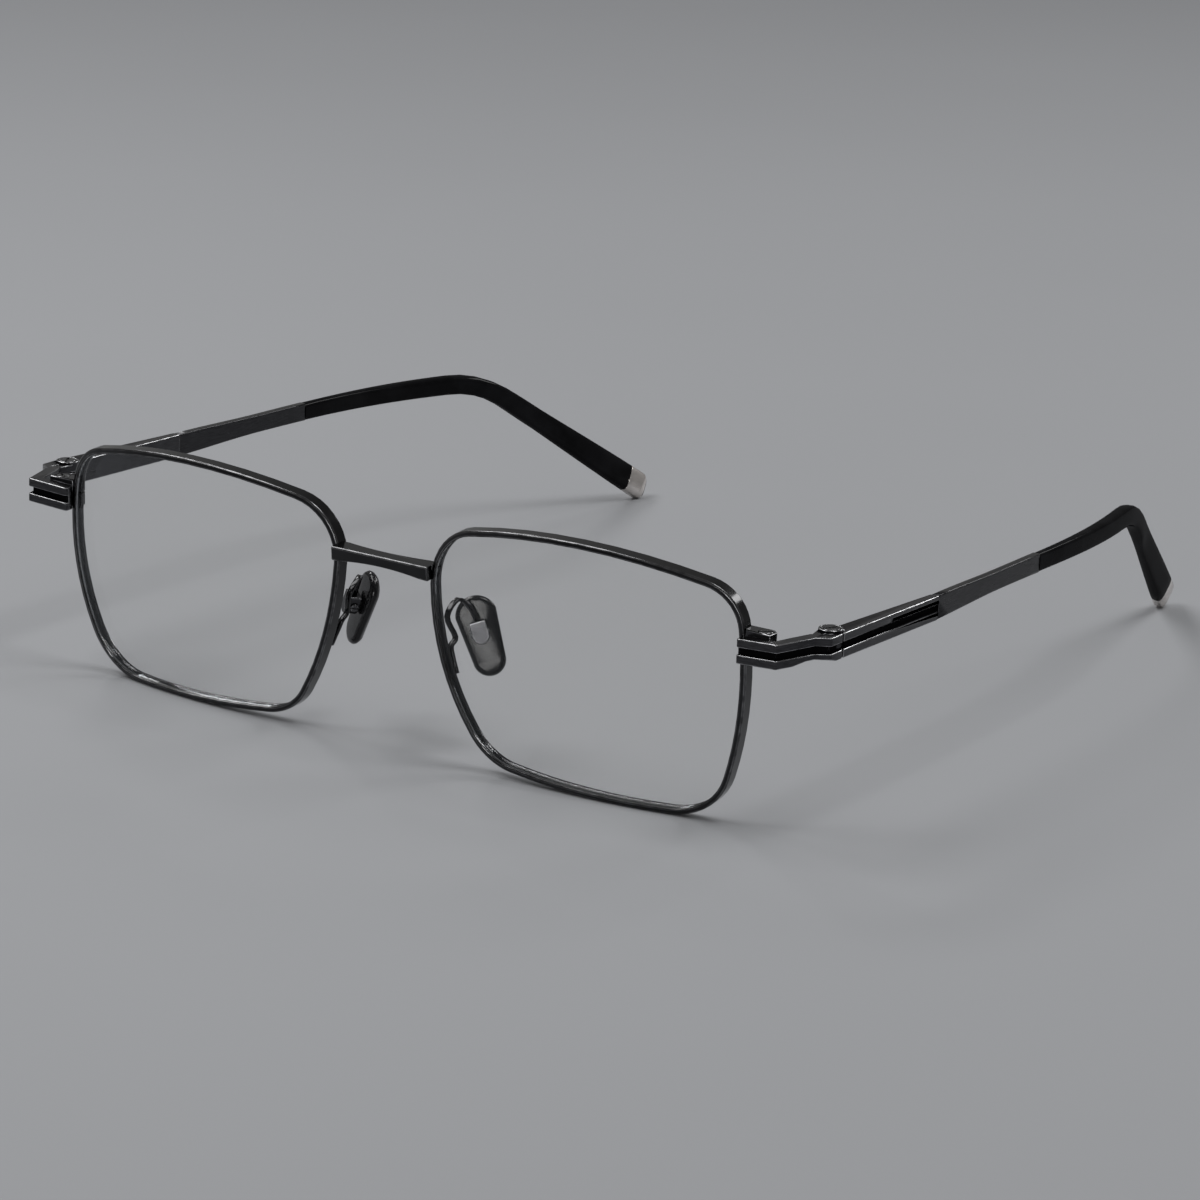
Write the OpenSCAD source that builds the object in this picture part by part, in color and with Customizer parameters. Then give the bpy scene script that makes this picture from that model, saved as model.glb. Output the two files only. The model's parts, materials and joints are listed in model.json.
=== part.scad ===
// Rectangular full-rim titanium spectacles, shown open and standing on rims and temple tips.
// The wearer looks towards -Y, so the wearer's left side is +X. The temples run back along +Y.
// Every piece is drawn for the left side and mirrored for the right.

/* [Lens outline] */
// Distance from the lens datum to the upper outer corner, sideways
up_out_x = 24.7; // [21:0.1:28]
// Height of the upper outer corner above the datum
up_out_z = 15.3; // [12:0.1:19]
// Distance from the datum to the upper nose corner, sideways
up_nose_x = 26.9; // [23:0.1:30]
// Height of the upper nose corner above the datum
up_nose_z = 15.1; // [12:0.1:19]
// Distance from the datum to the lower nose corner, sideways
low_nose_x = 17.5; // [14:0.1:21]
// Depth of the lower nose corner below the datum
low_nose_z = 18; // [15:0.1:21]
// Distance from the datum to the lower outer corner, sideways
low_out_x = 20.3; // [17:0.1:24]
// Depth of the lower outer corner below the datum
low_out_z = 19.2; // [16:0.1:22]
// Bulge of the upper edge
bulge_top = 4.05; // [1:0.05:6]
// Bulge of the edge on the nose side
bulge_nose = 3.45; // [1:0.05:5]
// Bulge of the lower edge
bulge_low = 0.65; // [0.3:0.05:3]
// Bulge of the outer edge
bulge_out = 3.1; // [1:0.05:5]
// Radius of the upper outer corner
round_up_out = 7.4; // [4:0.1:12]
// Radius of the upper nose corner
round_up_nose = 9.2; // [5:0.1:12]
// Radius of the lower nose corner
round_low_nose = 9.2; // [5:0.1:12]
// Radius of the lower outer corner
round_low_out = 9.7; // [5:0.1:12]

/* [Front] */
// Distance between the two lenses
lens_gap = 18.2; // [14:0.1:24]
// Radius of the sphere that both lenses and rims lie on
base_curve = 88; // [70:1:140]
// Turn of each lens back towards the temple
wrap = 2.8; // [0:0.1:8]
// Lean of the front, the lower edge towards the cheeks
tilt = 5.2; // [0:0.1:12]

/* [Eyewire and lens] */
// Width of the rim wire, seen from the front
wire_w = 0.9; // [0.7:0.05:1.6]
// Depth of the rim wire, front to back
wire_d = 2.2; // [1.8:0.1:3.2]
// Bevel on the long edges of the wire
wire_bevel = 0.16; // [0.05:0.01:0.25]
// Depth of the groove that holds the lens
groove_depth = 0.4; // [0.2:0.05:0.5]
// Width of the groove at its mouth
groove_mouth = 1; // [0.6:0.05:1.4]
// Thickness of the lens
lens_t = 1.7; // [1.2:0.1:2.4]
// Play between the lens edge and its groove
lens_play = 0.05; // [0.02:0.01:0.1]
// Slit where the rim opens at the closing block
slit = 0.16; // [0.1:0.02:0.4]
// Gap at a soldered seat
solder_gap = 0.03; // [0.02:0.01:0.08]

/* [Bridge] */
// Height of the bridge's top edge above the lens datum
bridge_rise = 11; // [6:0.1:14]
// Height of the bridge at its ends
bridge_h_end = 2.25; // [1.8:0.1:3.5]
// Height of the bridge at its middle
bridge_h_mid = 1.6; // [1.2:0.1:3]
// Depth of the bridge at its ends
bridge_d_end = 2.9; // [2:0.1:4]
// Depth of the bridge at its middle
bridge_d_mid = 2.3; // [1.6:0.1:3.5]
// How far the bridge's face stands in front of the rims
bridge_proud = 1.5; // [0.5:0.1:2.5]
// Half of the arched length under the bridge
bridge_arch = 8.2; // [5:0.1:8.4]
// Half of the hollowed length behind the bridge
bridge_hollow = 7.4; // [5:0.1:7.9]

// Bevel along the bridge's front edges
bridge_bevel = 0.2; // [0.05:0.05:0.4]

/* [End piece] */
// Height of the hinge's middle above the lens datum
end_rise = 8.4; // [4:0.1:12]
// Height of the grooved bars
bar_h = 3.7; // [3:0.1:5]
// Height of the groove between the bars
bar_groove_h = 1.08; // [0.6:0.02:1.6]
// Height of the bars at their waist in front of the jog
bar_h_waist = 3.3; // [2.8:0.1:4]
// Depth of the groove between the bars
bar_groove_d = 0.6; // [0.3:0.05:0.8]
// Thickness of the bars
bar_t = 1.95; // [1.4:0.05:2.4]
// Length of the front bar
front_bar_len = 7.2; // [5:0.1:10]
// Rounding of the bars' corners in plan
bar_round = 0.5; // [0.1:0.05:0.8]
// How far the web behind the lower and upper knuckle is rooted in the bar
web_root = 0.3; // [0.1:0.05:0.6]
// Share of the arm's length after which it has its waist height
waist_reach = 0.6; // [0.3:0.05:0.9]
// Turn of the front bar, its outer end forward
front_bar_turn = 5; // [0:0.5:10]
// Rise of the front bar towards its outer end
front_bar_rise = 4.5; // [0:0.5:8]
// How far the front bar stands in front of the rim
front_bar_proud = 1.75; // [1:0.05:2.5]
// Length of the arm behind the corner
arm_len = 7.2; // [5:0.1:10]
// Splay of that arm away from straight back
arm_splay = 17.7; // [8:0.5:25]
// Step outwards at the jog in front of the hinge
jog_out = 1.95; // [1:0.05:2.4]
// Length of the jog, front to back
jog_run = 1.25; // [0.8:0.05:2.5]
// Length of the straight knuckle in front of the split
knuckle_run = 3.3; // [2.8:0.05:5]

/* [Closing block] */
// Distance from the rim's middle to the far side of the block
block_reach = 4.7; // [4:0.1:5.6]
// Depth of the block, front to back
block_d = 2.8; // [2.4:0.1:3.4]
// How far the upper block stands above the bars
block_proud = 0.45; // [0:0.05:1]
// Chamfer on the block's outer back corner
block_chamfer = 0.8; // [0.3:0.1:1.2]
// Height of the lower block
block_low_h = 2.1; // [1.4:0.05:2.4]
// Distance of the lock screw from the block's outer side
lock_in_x = 1.55; // [1.3:0.05:1.8]
// Distance of the lock screw from the block's back
lock_in_y = 1.4; // [1.2:0.05:1.6]
// Radius of the lock screw's head
lock_head_r = 1.05; // [0.8:0.05:1.2]
// Height of the lock screw's head
lock_head_h = 0.5; // [0.3:0.05:0.6]
// Radius of the lock screw's shank
lock_shank_r = 0.55; // [0.4:0.05:0.7]

/* [Hinge] */
// Distance from the outer face to the hinge axis
axis_inset = 2.3; // [2.1:0.05:2.8]
// Radius of the hinge knuckles
knuckle_r = 1.8; // [1.6:0.05:2]
// How far the upper knuckle stands above the bars
knuckle_proud = 0.4; // [0:0.05:0.6]
// Thickness of the temple's middle knuckle
tongue_h = 1; // [0.7:0.05:1.4]
// How far the middle knuckle's edge stays inside the outer ones
tongue_set_back = 0.05; // [0:0.01:0.2]
// Width of the neck behind the middle knuckle
neck_w = 2; // [1.4:0.1:2.4]
// How far the hinge washers' edge stays inside the knuckles
washer_set_back = 0.3; // [0.1:0.05:0.6]
// Thickness of each hinge washer
washer_t = 0.1; // [0.06:0.01:0.2]
// Play on each face of a washer
washer_play = 0.02; // [0.01:0.01:0.05]
// Radius of the hinge screw's shank
pin_r = 0.6; // [0.5:0.05:0.8]
// Running play round the shank
pin_play = 0.04; // [0.02:0.01:0.08]
// Radius of the hinge screw's head
pin_head_r = 1.4; // [1.1:0.05:1.6]
// Height of the hinge screw's head
pin_head_h = 0.5; // [0.4:0.05:0.7]
// Clearance round a screw head in its recess
head_play = 0.08; // [0.05:0.01:0.2]
// Play of the split between end piece and temple
split_gap = 0.12; // [0.08:0.02:0.3]
// Clearance between the knuckles and the pocket round them
pocket_play = 0.12; // [0.08:0.01:0.2]

/* [Temple] */
// Length of the grooved hinge arm
hinge_arm_len = 27.8; // [20:0.1:34]
// Thickness of the hinge arm at the hinge
hinge_arm_t = 3; // [2.6:0.05:3.4]
// Thickness of the hinge arm at its end
hinge_arm_t_end = 1.5; // [1.4:0.05:2]
// Slope of the hinge arm, down towards the ear
arm_pitch = 1.6; // [0:0.1:4]
// Slope of the flat bar where it leaves the arm
flat_pitch = -0.3; // [-2:0.1:3]
// Slope of the tip sleeve just before the bend
bar_pitch = 2.5; // [0:0.1:4]
// Inward turn of the hinge arm
arm_yaw = 1.8; // [0:0.1:4]
// Inward turn of the tip at its end
tip_yaw = 17.5; // [8:0.5:28]
// Distance from the arm to where the temple starts to turn inwards
turn_from = 28; // [10:1:40]
// Distance from the arm to where it has turned inwards
turn_to = 85; // [60:1:100]
// Thickness of the flat bar
flat_t = 1.3; // [1:0.05:1.5]
// Height of the flat bar where it leaves the arm
flat_h_start = 3.65; // [3:0.05:4]
// Height of the flat bar at its waist
flat_h_waist = 2.9; // [2.4:0.05:3.4]
// Distance from the arm to the waist
waist_at = 20; // [12:1:28]
// Distance from the arm to the mouth of the tip sleeve
sleeve_at = 32; // [29:1:50]
// Distance from the arm to the start of the bend
bend_at = 67.6; // [58:0.1:76]
// Radius of the bend over the ear
bend_r = 25; // [14:1:40]
// Length of the temple from the arm to the end of the tip
temple_run = 118.7; // [105:0.1:130]

/* [Tip] */
// Thickness of the tip at the bend
tip_t_bend = 2.5; // [2:0.05:3.2]
// Height of the tip at the bend
tip_h_bend = 3.3; // [2.8:0.05:4]
// Thickness of the tip at its end
tip_t_end = 3.9; // [3.2:0.05:4.8]
// Height of the tip at its end
tip_h_end = 4.9; // [4.2:0.05:6]
// Length of the metal end cap
cap_len = 3.7; // [2.8:0.1:5]
// Length of the rounding at the cap's end
cap_round = 1.3; // [0.6:0.1:2]
// Wall of the end cap round its spigot
cap_wall = 0.6; // [0.4:0.05:0.8]
// Length of the spigot inside the cap
spigot_len = 1.8; // [1:0.1:2.2]
// Thickness of the metal core inside the tip
core_t = 1; // [0.8:0.05:1.2]
// Height of the core at the mouth of the sleeve
core_h = 2; // [1.4:0.05:2.2]
// Play round the core
core_play = 0.03; // [0.02:0.01:0.1]
// Gap between the core's end and the end of its channel
core_end_gap = 1; // [0.2:0.1:3]
// Length of the core inside the tip
core_run = 66; // [50:1:76]

/* [Nose pads] */
// Sideways place of the pad's middle
pad_x = 11.1; // [9:0.1:13]
// Place of the pad's middle behind the rim's front, at the foot of its arm
pad_back = 9.7; // [8:0.1:12]
// Height of the pad's middle relative to the lens datum
pad_z = -1.6; // [-6:0.1:2]
// Turn of the pad's face towards the back
pad_splay = 57; // [20:1:70]
// Lean of the pad, its top towards the nose
pad_lean = 10.5; // [0:0.5:15]
// Lean of the pad, its top towards the front
pad_pitch = 18.5; // [0:0.5:25]
// Length of the pad
pad_len = 12.4; // [11.5:0.1:15]
// Radius of the pad's upper end
pad_r_up = 3.2; // [3:0.1:4.4]
// Radius of the pad's lower end
pad_r_low = 2.5; // [2.2:0.1:3.8]
// Thickness of the pad at its middle
pad_t = 2.1; // [1.8:0.1:3]
// Margin of silicone round the core plate
pad_margin = 1.3; // [0.8:0.1:2]
// Thickness of the core plate
plate_t = 0.6; // [0.4:0.05:0.9]
// Width of the tab that enters the box
tab_w = 1.3; // [1:0.05:1.6]
// Height of the tab
tab_h = 1.3; // [1.1:0.05:1.4]
// Radius of the tab's round end about the rocking axis
tab_reach = 0.7; // [0.6:0.05:0.75]
// Width of the pad box
box_w = 2.5; // [2.3:0.05:3]
// Height of the pad box
box_h = 3.4; // [2.7:0.05:3.8]
// Depth of the pad box
box_d = 2; // [1.8:0.05:2.6]
// Thickness of the pad box's floor
box_floor = 0.4; // [0.3:0.05:0.5]
// Gap between the pad's back and the mouth of its box
box_gap = 0.35; // [0.3:0.05:0.8]
// Height of the box above the pad's middle
box_up = 0.7; // [-1:0.1:2]
// Play of the tab in the box
tab_play = 0.1; // [0.06:0.01:0.15]
// Radius of the pad screw's shank
pad_pin_r = 0.35; // [0.3:0.05:0.45]
// Radius of the pad screw's head
pad_head_r = 0.65; // [0.5:0.05:0.8]
// Height of the pad screw's head
pad_head_h = 0.3; // [0.2:0.05:0.4]
// Width of the pad arm's strap
strap_w = 0.9; // [0.7:0.05:1.1]
// Thickness of the pad arm's strap
strap_t = 0.55; // [0.4:0.05:0.7]
// Height of the strap's kink above its foot
kink_up = 5; // [4:0.1:7]
// Distance of the kink from the foot towards the nose
kink_in = 1.6; // [1:0.1:2.4]
// Distance of the kink behind the foot
kink_back = 1.7; // [1:0.1:2.5]
// Rise of the loop's front above the kink
loop_rise = 3.1; // [2:0.1:4]
// Height of the loop above the box
loop_up = 3.4; // [2.5:0.1:5]
// Distance of the loop's front from the box towards the nose
loop_in = 2.3; // [1.5:0.1:3]
// Distance of the loop's front before the box
loop_front = 1.9; // [1:0.1:3]
// Bevel along the strap's edges
strap_bevel = 0.12; // [0.04:0.02:0.2]
// Height of the strap's foot relative to the lens datum
strap_foot_z = -6.3; // [-9:0.1:-3]

/* [Hidden] */

// Finishes
black_plating = [0.13, 0.13, 0.14];
dark_plating = [0.2, 0.2, 0.21];
acetate = [0.05, 0.05, 0.055];
silver = [0.78, 0.76, 0.74];
clear = [0.85, 0.9, 0.92, 0.35];
silicone = [0.45, 0.45, 0.47, 0.8];

// Overrun of a cut past the face that it opens
past = 1;
// Length of the prisms that cut side views, longer than any piece they cut
profile_span = 100;

// Helpers

function turn_x(p, a) = [p.x, p.y * cos(a) - p.z * sin(a), p.y * sin(a) + p.z * cos(a)];
function turn_y(p, a) = [p.x * cos(a) + p.z * sin(a), p.y, -p.x * sin(a) + p.z * cos(a)];
function turn_z(p, a) = [p.x * cos(a) - p.y * sin(a), p.x * sin(a) + p.y * cos(a), p.z];
function last(list) = list[len(list) - 1];
function reversed(list) = [for (i = [len(list) - 1 : -1 : 0]) list[i]];
function mix(a, b, t) = a + (b - a) * t;
function clamp(t) = min(max(t, 0), 1);
function ease(t) = let (c = clamp(t)) c * c * (3 - 2 * c);
function sign_power(v, e) = sign(v) * pow(abs(v), e);

// Skin over a chain of rings with the same number of points, counter-clockwise about the way
// that the chain runs. The two end rings are closed by a face or, where poles are given, by fans.
module skin(rings, first_pole = undef, last_pole = undef) {
    n = len(rings);
    m = len(rings[0]);
    ring_points = [for (ring = rings) each ring];
    sides = [
        for (i = [0 : n - 2]) for (j = [0 : m - 1])
            let (a = i * m + j, b = i * m + (j + 1) % m)
                each [[a, b + m, b], [a, a + m, b + m]]
    ];
    end = (n - 1) * m;
    first_face = is_undef(first_pole)
        ? [[for (j = [0 : m - 1]) j]]
        : [for (j = [0 : m - 1]) [n * m, j, (j + 1) % m]];
    last_face = is_undef(last_pole)
        ? [[for (j = [m - 1 : -1 : 0]) end + j]]
        : [for (j = [0 : m - 1]) [n * m + 1, end + (j + 1) % m, end + j]];
    polyhedron(
        points = concat(ring_points, is_undef(first_pole) ? [] : [first_pole, last_pole]),
        faces = concat(first_face, sides, last_face)
    );
}

// Section shapes, counter-clockwise
function bevelled_box(w, h, c) = [
    [w / 2, -h / 2 + c], [w / 2, h / 2 - c], [w / 2 - c, h / 2], [-w / 2 + c, h / 2],
    [-w / 2, h / 2 - c], [-w / 2, -h / 2 + c], [-w / 2 + c, -h / 2], [w / 2 - c, -h / 2]
];
function soft_box(w, h, squareness, n) = [
    for (i = [0 : n - 1]) let (t = 360 * (i + 0.5) / n)
        [w / 2 * sign_power(cos(t), 2 / squareness), h / 2 * sign_power(sin(t), 2 / squareness)]
];

// Lens outline: four bulged sides with a rounded corner between each two, counter-clockwise from
// the upper outer corner. A station is [centre, radius, angle] of the arc that it lies on.

corner_steps = 9;
side_steps = 8;
corners = [
    [up_out_x, up_out_z], [-up_nose_x, up_nose_z],
    [-low_nose_x, -low_nose_z], [low_out_x, -low_out_z]
];
bulges = [bulge_top, bulge_nose, bulge_low, bulge_out];
rounds = [round_up_out, round_up_nose, round_low_nose, round_low_out];

// Circle through two corners with a bulge to the right of the way from one to the other
function side_circle(p, q, bulge) =
    let (d = q - p, l = norm(d), r = (l * l / 4 + bulge * bulge) / (2 * bulge))
        [(p + q) / 2 + [d.y, -d.x] / l * (bulge - r), r];

sides = [for (i = [0 : 3]) side_circle(corners[i], corners[(i + 1) % 4], bulges[i])];

// Centre of the corner circle that touches two side circles from inside, near the corner
function corner_centre(a, b, r, near) =
    let (
        ra = a[1] - r, rb = b[1] - r,
        d = b[0] - a[0], l = norm(d),
        along = (ra * ra - rb * rb + l * l) / (2 * l),
        off = sqrt(max(ra * ra - along * along, 0)),
        mid = a[0] + d / l * along,
        across = [-d.y, d.x] / l * off
    )
        norm(mid + across - near) < norm(mid - across - near) ? mid + across : mid - across;

corner_centres = [for (i = [0 : 3]) corner_centre(sides[(i + 3) % 4], sides[i], rounds[i], corners[i])];

function heading(v) = atan2(v.y, v.x);
function ahead(a, b) = b < a ? b + 360 : b;

// Angles where corner i begins and ends, both counted up from the angle given
function corner_start(i) = heading(corner_centres[i] - sides[(i + 3) % 4][0]);
function corner_end(i) = ahead(corner_start(i), heading(corner_centres[i] - sides[i][0]));

function corner_stations(i) = [
    for (k = [0 : corner_steps - 1])
        [corner_centres[i], rounds[i], mix(corner_start(i), corner_end(i), k / corner_steps)]
];
function side_stations(i, from, to, steps) = [
    for (k = [0 : steps - 1]) [sides[i][0], sides[i][1], mix(from, to, k / steps)]
];

// The rim's slit lies on the outer side, at the middle of the end piece
outer = sides[3];
slit_half = slit / 2 / outer[1] * 180 / PI;
slit_angle = asin((end_rise - outer[0].y) / outer[1]);
outer_end = corner_start(0) < 180 ? corner_start(0) : corner_start(0) - 360;
outer_begin = corner_end(3);
upper_outer_side = [
    for (k = [0 : 2]) [outer[0], outer[1], mix(slit_angle + slit_half, outer_end, k / 3)]
];
lower_outer_side = [
    for (k = [0 : side_steps]) [outer[0], outer[1], mix(outer_begin, slit_angle - slit_half, k / side_steps)]
];
rim_stations = concat(
    upper_outer_side,
    [
        for (i = [0 : 2]) each concat(
            corner_stations(i),
            side_stations(i, corner_end(i), ahead(corner_end(i), corner_start(i + 1)), side_steps)
        )
    ],
    corner_stations(3),
    lower_outer_side
);

// Point at a station: offset outwards in the outline's plane, depth behind the front sphere
function station_flat(s, offset) = s[0] + (s[1] + offset) * [cos(s[2]), sin(s[2])];
function on_sphere(q, depth) =
    [q.x, base_curve - sqrt(base_curve * base_curve - q.x * q.x - q.y * q.y) + depth, q.y];
function rim_point(s, offset, depth) = on_sphere(station_flat(s, offset), depth);

// Wire section as [offset, depth], with the groove on its inner side
wire_section = [
    [-wire_w / 2 + wire_bevel, 0], [wire_w / 2 - wire_bevel, 0], [wire_w / 2, wire_bevel],
    [wire_w / 2, wire_d - wire_bevel], [wire_w / 2 - wire_bevel, wire_d],
    [-wire_w / 2 + wire_bevel, wire_d], [-wire_w / 2, wire_d - wire_bevel],
    [-wire_w / 2, wire_d / 2 + groove_mouth / 2], [-wire_w / 2 + groove_depth, wire_d / 2],
    [-wire_w / 2, wire_d / 2 - groove_mouth / 2], [-wire_w / 2, wire_bevel]
];
wire_rings = [for (s = rim_stations) [for (q = wire_section) rim_point(s, q[0], q[1])]];

// Place of the front's parts. The rims stand on the floor, and the lenses keep their gap.
nose_reach = -min([for (s = rim_stations) station_flat(s, -wire_w / 2 + groove_depth).x]);
rim_x = lens_gap / 2 + nose_reach * cos(wrap);
rim_z = -min([for (ring = wire_rings) for (p = ring) turn_x(p, tilt).z]);
function from_rim(p) = turn_z(turn_x(p, tilt), wrap) + [rim_x, 0, rim_z];
module rim_frame() translate([rim_x, 0, rim_z]) rotate([0, 0, wrap]) rotate([tilt, 0, 0]) children();

// Middle of the wire's front face on the outer or the nose side, at a height above the datum
function outer_face(v) =
    from_rim(on_sphere([outer[0].x + sqrt(pow(outer[1], 2) - pow(v - outer[0].y, 2)), v], 0));
function nose_face(v, depth) =
    let (c = sides[1]) from_rim(on_sphere([c[0].x - sqrt(pow(c[1], 2) - pow(v - c[0].y, 2)), v], depth));

// End piece in plan, along its outer face from the rim to the split
end_seat = outer_face(end_rise);
hinge_z = end_seat.z;
bar_inner = [end_seat.x, end_seat.y - front_bar_proud];
bar_corner = bar_inner + front_bar_len * [cos(front_bar_turn), -sin(front_bar_turn)];
jog_start = bar_corner + arm_len * [sin(arm_splay), cos(arm_splay)];
jog_end = jog_start + [jog_out, jog_run];
split_face = jog_end + [0, knuckle_run];
hinge_x = split_face.x - axis_inset;
hinge_y = split_face.y + split_gap / 2;
module hinge_frame() translate([hinge_x, hinge_y, hinge_z]) children();

// Path moved sideways to its left by d, with mitred corners
function left_of(v) = [-v.y, v.x] / norm(v);
function offset_path(path, d) = [
    for (i = [0 : len(path) - 1])
        let (
            before = left_of(path[max(i, 1)] - path[max(i, 1) - 1]),
            after = left_of(path[min(i + 1, len(path) - 1)] - path[min(i + 1, len(path) - 1) - 1])
        )
            path[i] + (before + after) * d / (1 + before * after)
];
module strip(path, from, to) polygon(concat(offset_path(path, from), reversed(offset_path(path, to))));
module rounded(r) offset(r = r, $fn = 40) offset(delta = -r) children();

// Groove along the outer face of a bar, in plan
module groove_plan(path, thick) difference() {
    strip(path, -past, bar_groove_d);
    rounded(bar_round) strip(path, bar_groove_d, thick + past);
}

// Envelope of the rim wire, for the pieces soldered on it
module rim_envelope(stations, gap) {
    section = [
        [-wire_w / 2 - gap, -gap], [wire_w / 2 + gap, -gap],
        [wire_w / 2 + gap, wire_d + gap], [-wire_w / 2 - gap, wire_d + gap]
    ];
    rim_frame() skin([for (s = stations) [for (q = section) rim_point(s, q[0], q[1])]]);
}
outer_seat_stations = [for (k = [0 : 8]) [outer[0], outer[1], mix(slit_angle - 8, slit_angle + 8, k / 8)]];
nose_seat_half = 4;
nose_seat_stations = [
    for (s = rim_stations) let (q = station_flat(s, 0))
        if (q.x < 0 && abs(q.y - bridge_rise + bridge_h_end / 2) < nose_seat_half) s
];

// Temple path behind the hinge arm, from the arm's end to the end of the tip, in the hinge's frame
function path_yaw(s) = mix(arm_yaw, tip_yaw, ease((s - turn_from) / (turn_to - turn_from)));

// The tip leans down so far behind the bend that its foot stands on the floor beside the rims
tip_foot_at = temple_run - cap_round;
function bend_len(lean) = bend_r * (lean - bar_pitch) * PI / 180;
function tip_drop(lean) = bend_r * (cos(bar_pitch) - cos(lean))
    + (tip_foot_at - bend_at - bend_len(lean)) * sin(lean)
    + tip_h_end / 4 * cos(lean) + norm([cap_round * sin(lean), tip_h_end / 4 * cos(lean)]);
function tip_lean(drop, low, high, rounds) = let (lean = (low + high) / 2)
    rounds == 0 ? lean
    : tip_drop(lean) < drop ? tip_lean(drop, lean, high, rounds - 1)
    : tip_lean(drop, low, lean, rounds - 1);
bend_z = hinge_z - hinge_arm_len * tan(arm_pitch) - bend_at * sin((flat_pitch + bar_pitch) / 2);
tip_pitch = tip_lean(bend_z, 5, 60, 16);
function path_pitch(s) = s < bend_at
    ? mix(flat_pitch, bar_pitch, s / bend_at)
    : mix(bar_pitch, tip_pitch, clamp((s - bend_at) / bend_len(tip_pitch)));
function path_ahead(s) =
    let (a = path_yaw(s), b = path_pitch(s)) [-sin(a) * cos(b), cos(a) * cos(b), -sin(b)];
path_step = 1;
path_count = floor(temple_run / path_step);
arm_outer_end = [axis_inset - hinge_arm_len * tan(arm_yaw), hinge_arm_len];
flat_recess = 0.1;
path_start = [arm_outer_end.x - flat_recess - flat_t / 2, hinge_arm_len, -hinge_arm_len * tan(arm_pitch)];
path_points = [
    for (
        i = 0, p = path_start;
        i <= path_count;
        p = p + path_step * path_ahead((i + 0.5) * path_step), i = i + 1
    ) p
];
function path_at(s) =
    let (i = min(floor(s / path_step), path_count - 1)) path_points[i] + (s - i * path_step) * path_ahead(s);
function ring_at(s, section) =
    let (
        a = path_yaw(s), b = path_pitch(s), p = path_at(s),
        side = [cos(a), sin(a), 0],
        up = [-sin(a) * sin(b), cos(a) * sin(b), cos(b)]
    )
        [for (q = section) p + q[0] * side + q[1] * up];

// Sizes along the temple
function flat_height(s) = s < waist_at
    ? mix(flat_h_start, flat_h_waist, ease(s / waist_at))
    : mix(flat_h_waist, tip_h_bend, ease((s - waist_at) / (bend_at + 6 - waist_at)));
function tip_height(s) = s < bend_at + 6
    ? flat_height(s)
    : mix(tip_h_bend, tip_h_end, ease((s - bend_at - 6) / (temple_run - bend_at - 6)));
function tip_thick(s) = s < bend_at + 6
    ? mix(flat_t + 0.25, tip_t_bend, ease((s - sleeve_at) / (bend_at + 6 - sleeve_at)))
    : mix(tip_t_bend, tip_t_end, ease((s - bend_at - 6) / (temple_run - bend_at - 6)));
cap_at = temple_run - cap_len;
tip_squareness = 3.6;
flat_squareness = 12;
tip_points = 16;
function tip_section(w, h) = soft_box(w, h, tip_squareness, tip_points);
function tip_ring(s, grow) = ring_at(s, tip_section(tip_thick(s) + grow, tip_height(s) + grow));
function core_height(s) = mix(core_h, core_h * 0.7, (s - sleeve_at) / core_run);
function core_ring(s, grow) = ring_at(s, tip_section(core_t + grow, core_height(s) + grow));

core_steps = 14;
function core_station(k) = sleeve_at + core_run * k / core_steps;

// The cap's rounding stops short of a full quarter turn, which leaves a small flat on its end
cap_steps = 6;
cap_turn = 82;
cap_outer_rings = concat(
    [tip_ring(cap_at + solder_gap, 0)],
    [
        for (k = [0 : cap_steps])
            let (t = cap_turn * k / cap_steps, s = temple_run - cap_round * (1 - sin(t)), share = mix(0.5, 1, cos(t)))
                ring_at(s, tip_section(tip_thick(s) * share, tip_height(s) * share))
    ]
);

// The origin is under the middle of the open spectacles
front_y = min([for (ring = wire_rings) for (p = ring) turn_z(turn_x(p, tilt), wrap).y]);
back_y = hinge_y + max([for (ring = cap_outer_rings) for (p = ring) p.y]);
mid_y = (front_y + back_y) / 2;
module on_left() translate([0, -mid_y, 0]) children();
module on_right() translate([0, -mid_y, 0]) mirror([1, 0, 0]) children();

// Front pieces

module eyewire() {
    function heart(s) = rim_point(s, wire_w / 4, wire_d / 2);
    color(black_plating) rim_frame() skin(wire_rings, heart(rim_stations[0]), heart(last(rim_stations)));
}

module lens() {
    body = -wire_w / 2 - lens_play;
    tip = -wire_w / 2 + groove_depth - lens_play;
    front = wire_d / 2 - lens_t / 2;
    back = wire_d / 2 + lens_t / 2;
    bevel = groove_mouth / 2;
    shares = [0.35, 0.7];
    function spread(share, depth) = [for (s = rim_stations) on_sphere(share * station_flat(s, body), depth)];
    function edge(offset, depth) = [for (s = rim_stations) rim_point(s, offset, depth)];
    rings = concat(
        [for (share = shares) spread(share, front)],
        [edge(body, front), edge(body, wire_d / 2 - bevel), edge(tip, wire_d / 2)],
        [edge(body, wire_d / 2 + bevel), edge(body, back)],
        [for (share = reversed(shares)) spread(share, back)]
    );
    color(clear) rim_frame() skin(reversed(rings), on_sphere([0, 0], back), on_sphere([0, 0], front));
}

// Radius of an arc from half its chord and its rise
function arc_radius(half_chord, rise) = (half_chord * half_chord + rise * rise) / (2 * rise);

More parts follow.
